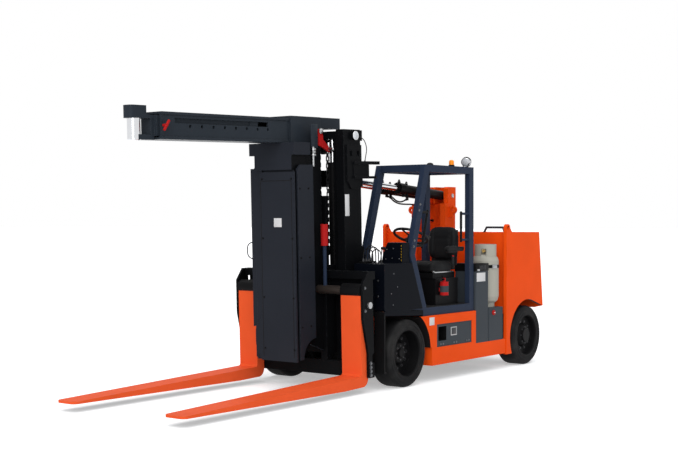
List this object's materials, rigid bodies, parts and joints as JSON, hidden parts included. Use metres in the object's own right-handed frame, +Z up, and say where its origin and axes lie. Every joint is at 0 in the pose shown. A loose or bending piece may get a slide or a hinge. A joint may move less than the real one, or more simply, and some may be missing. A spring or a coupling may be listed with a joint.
{
  "type": "rigging forklift",
  "caption": "Heavy rigging forklift with a tilting telescopic mast, sliding forks, a telescopic lifting boom, an overhead guard and a rear counterweight that slides out.",
  "frame": {"origin": "centre of the bounding box at floor level", "axes": "+X forward towards the fork tips, +Y to the truck's left, +Z up"},
  "size_m": [6.2446, 1.782, 2.8354],
  "materials": {
    "orange_paint": "gloss",
    "black_paint": "satin",
    "navy_paint": "satin",
    "grey_paint": "satin",
    "cream_paint": "satin",
    "red_paint": "gloss",
    "tyre": "matte",
    "steel": "satin",
    "chrome": "polished",
    "iron": "rough",
    "seat": "matte",
    "plastic": "matte"
  },
  "bodies": {
    "chassis": {"main_frame": "orange_paint", "drive_axle": "iron", "side_cabinets": "grey_paint", "lp_tank": "cream_paint", "cab_floor": "black_paint", "front_guards": "black_paint", "front_cowl": "navy_paint", "hydraulic_tank": "navy_paint", "overhead_guard": "navy_paint", "guard_lamps": "chrome", "seat": "seat", "extinguisher": "red_paint", "engine_block": "iron", "engine_hood": "orange_paint", "tilt_tower": "orange_paint"},
    "steering_wheel": {"steering_wheel": "plastic"},
    "drive_wheel_left": {"drive_tyre_left": "tyre", "drive_rim_left": "black_paint"},
    "drive_wheel_right": {"drive_tyre_right": "tyre", "drive_rim_right": "black_paint"},
    "rear_unit": {"counterweight": "orange_paint", "slide_rails": "steel", "steer_axle": "iron"},
    "knuckle_left": {"knuckle_left": "iron"},
    "knuckle_right": {"knuckle_right": "iron"},
    "steer_wheel_left": {"steer_tyre_left": "tyre", "steer_rim_left": "black_paint"},
    "steer_wheel_right": {"steer_tyre_right": "tyre", "steer_rim_right": "black_paint"},
    "mast_outer": {"outer_mast": "black_paint", "lift_barrels": "black_paint"},
    "mast_inner": {"inner_mast": "black_paint", "lift_rods": "chrome", "lift_chains": "steel"},
    "fork_carriage": {"carriage": "black_paint", "carriage_rods": "steel", "boom_column": "black_paint", "boom_outer": "black_paint", "red_locks": "red_paint"},
    "fork_left": {"fork_left": "orange_paint"},
    "fork_right": {"fork_right": "orange_paint"},
    "boom_slide": {"boom_inner": "black_paint", "boom_swivel": "chrome"},
    "tilt_barrels": {"tilt_barrels": "black_paint"},
    "tilt_rods": {"tilt_rods": "chrome"}
  },
  "joints": [
    {"name": "drive_left_roll", "type": "hinge", "parent": "chassis", "child": "drive_wheel_left", "pos_m": [-0.1433, 0.753, 0.3556], "axis": [0, 1, 0], "continuous": true},
    {"name": "drive_right_roll", "type": "hinge", "parent": "chassis", "child": "drive_wheel_right", "pos_m": [-0.1433, -0.753, 0.3556], "axis": [0, 1, 0], "continuous": true},
    {"name": "wheelbase_slide", "type": "slide", "parent": "chassis", "child": "rear_unit", "axis": [-1, 0, 0], "range_m": [0, 0.914]},
    {"name": "steer_left", "type": "hinge", "parent": "rear_unit", "child": "knuckle_left", "pos_m": [-2.7333, 0.545, 0.3556], "axis": [0, 0, 1], "range_deg": [-60, 60]},
    {"name": "steer_right", "type": "hinge", "parent": "rear_unit", "child": "knuckle_right", "pos_m": [-2.7333, -0.545, 0.3556], "axis": [0, 0, 1], "range_deg": [-60, 60]},
    {"name": "steer_left_roll", "type": "hinge", "parent": "knuckle_left", "child": "steer_wheel_left", "pos_m": [-2.7333, 0.753, 0.3556], "axis": [0, 1, 0], "continuous": true},
    {"name": "steer_right_roll", "type": "hinge", "parent": "knuckle_right", "child": "steer_wheel_right", "pos_m": [-2.7333, -0.753, 0.3556], "axis": [0, 1, 0], "continuous": true},
    {"name": "steering_turn", "type": "hinge", "parent": "chassis", "child": "steering_wheel", "pos_m": [-0.6813, 0.56, 1.575], "axis": [-0.4226, 0, 0.9063], "continuous": true},
    {"name": "mast_tilt", "type": "hinge", "parent": "chassis", "child": "mast_outer", "pos_m": [-0.1433, 0, 0.3556], "axis": [0, 1, 0], "range_deg": [-5.8, 3.2]},
    {"name": "tilt_barrel_swing", "type": "hinge", "parent": "chassis", "child": "tilt_barrels", "pos_m": [-2.0603, 0, 2.041], "axis": [0, 1, 0], "range_deg": [-3, 3]},
    {"name": "tilt_rod_slide", "type": "slide", "parent": "tilt_barrels", "child": "tilt_rods", "axis": [0.9973, 0, 0.0731], "range_m": [-0.2, 0.12]},
    {"name": "mast_lift", "type": "slide", "parent": "mast_outer", "child": "mast_inner", "axis": [0.0314, 0, 0.9995], "range_m": [0, 1.25]},
    {"name": "carriage_lift", "type": "slide", "parent": "mast_inner", "child": "fork_carriage", "axis": [0.0314, 0, 0.9995], "range_m": [0, 1.25], "deforming": ["lift_chains"]},
    {"name": "fork_left_shift", "type": "slide", "parent": "fork_carriage", "child": "fork_left", "axis": [0, -1, 0], "range_m": [0, 0.2]},
    {"name": "fork_right_shift", "type": "slide", "parent": "fork_carriage", "child": "fork_right", "axis": [0, 1, 0], "range_m": [0, 0.2]},
    {"name": "boom_extend", "type": "slide", "parent": "fork_carriage", "child": "boom_slide", "axis": [0.9995, 0, -0.0314], "range_m": [0, 1]}
  ],
  "couplings": [
    {"joint": "steer_right", "follows": "steer_left", "ratio": 1},
    {"joint": "tilt_barrel_swing", "follows": "mast_tilt", "ratio": 0.11064},
    {"joint": "tilt_rod_slide", "follows": "mast_tilt", "m_per_rad": 1.8268},
    {"joint": "carriage_lift", "follows": "mast_lift", "ratio": 1}
  ]
}
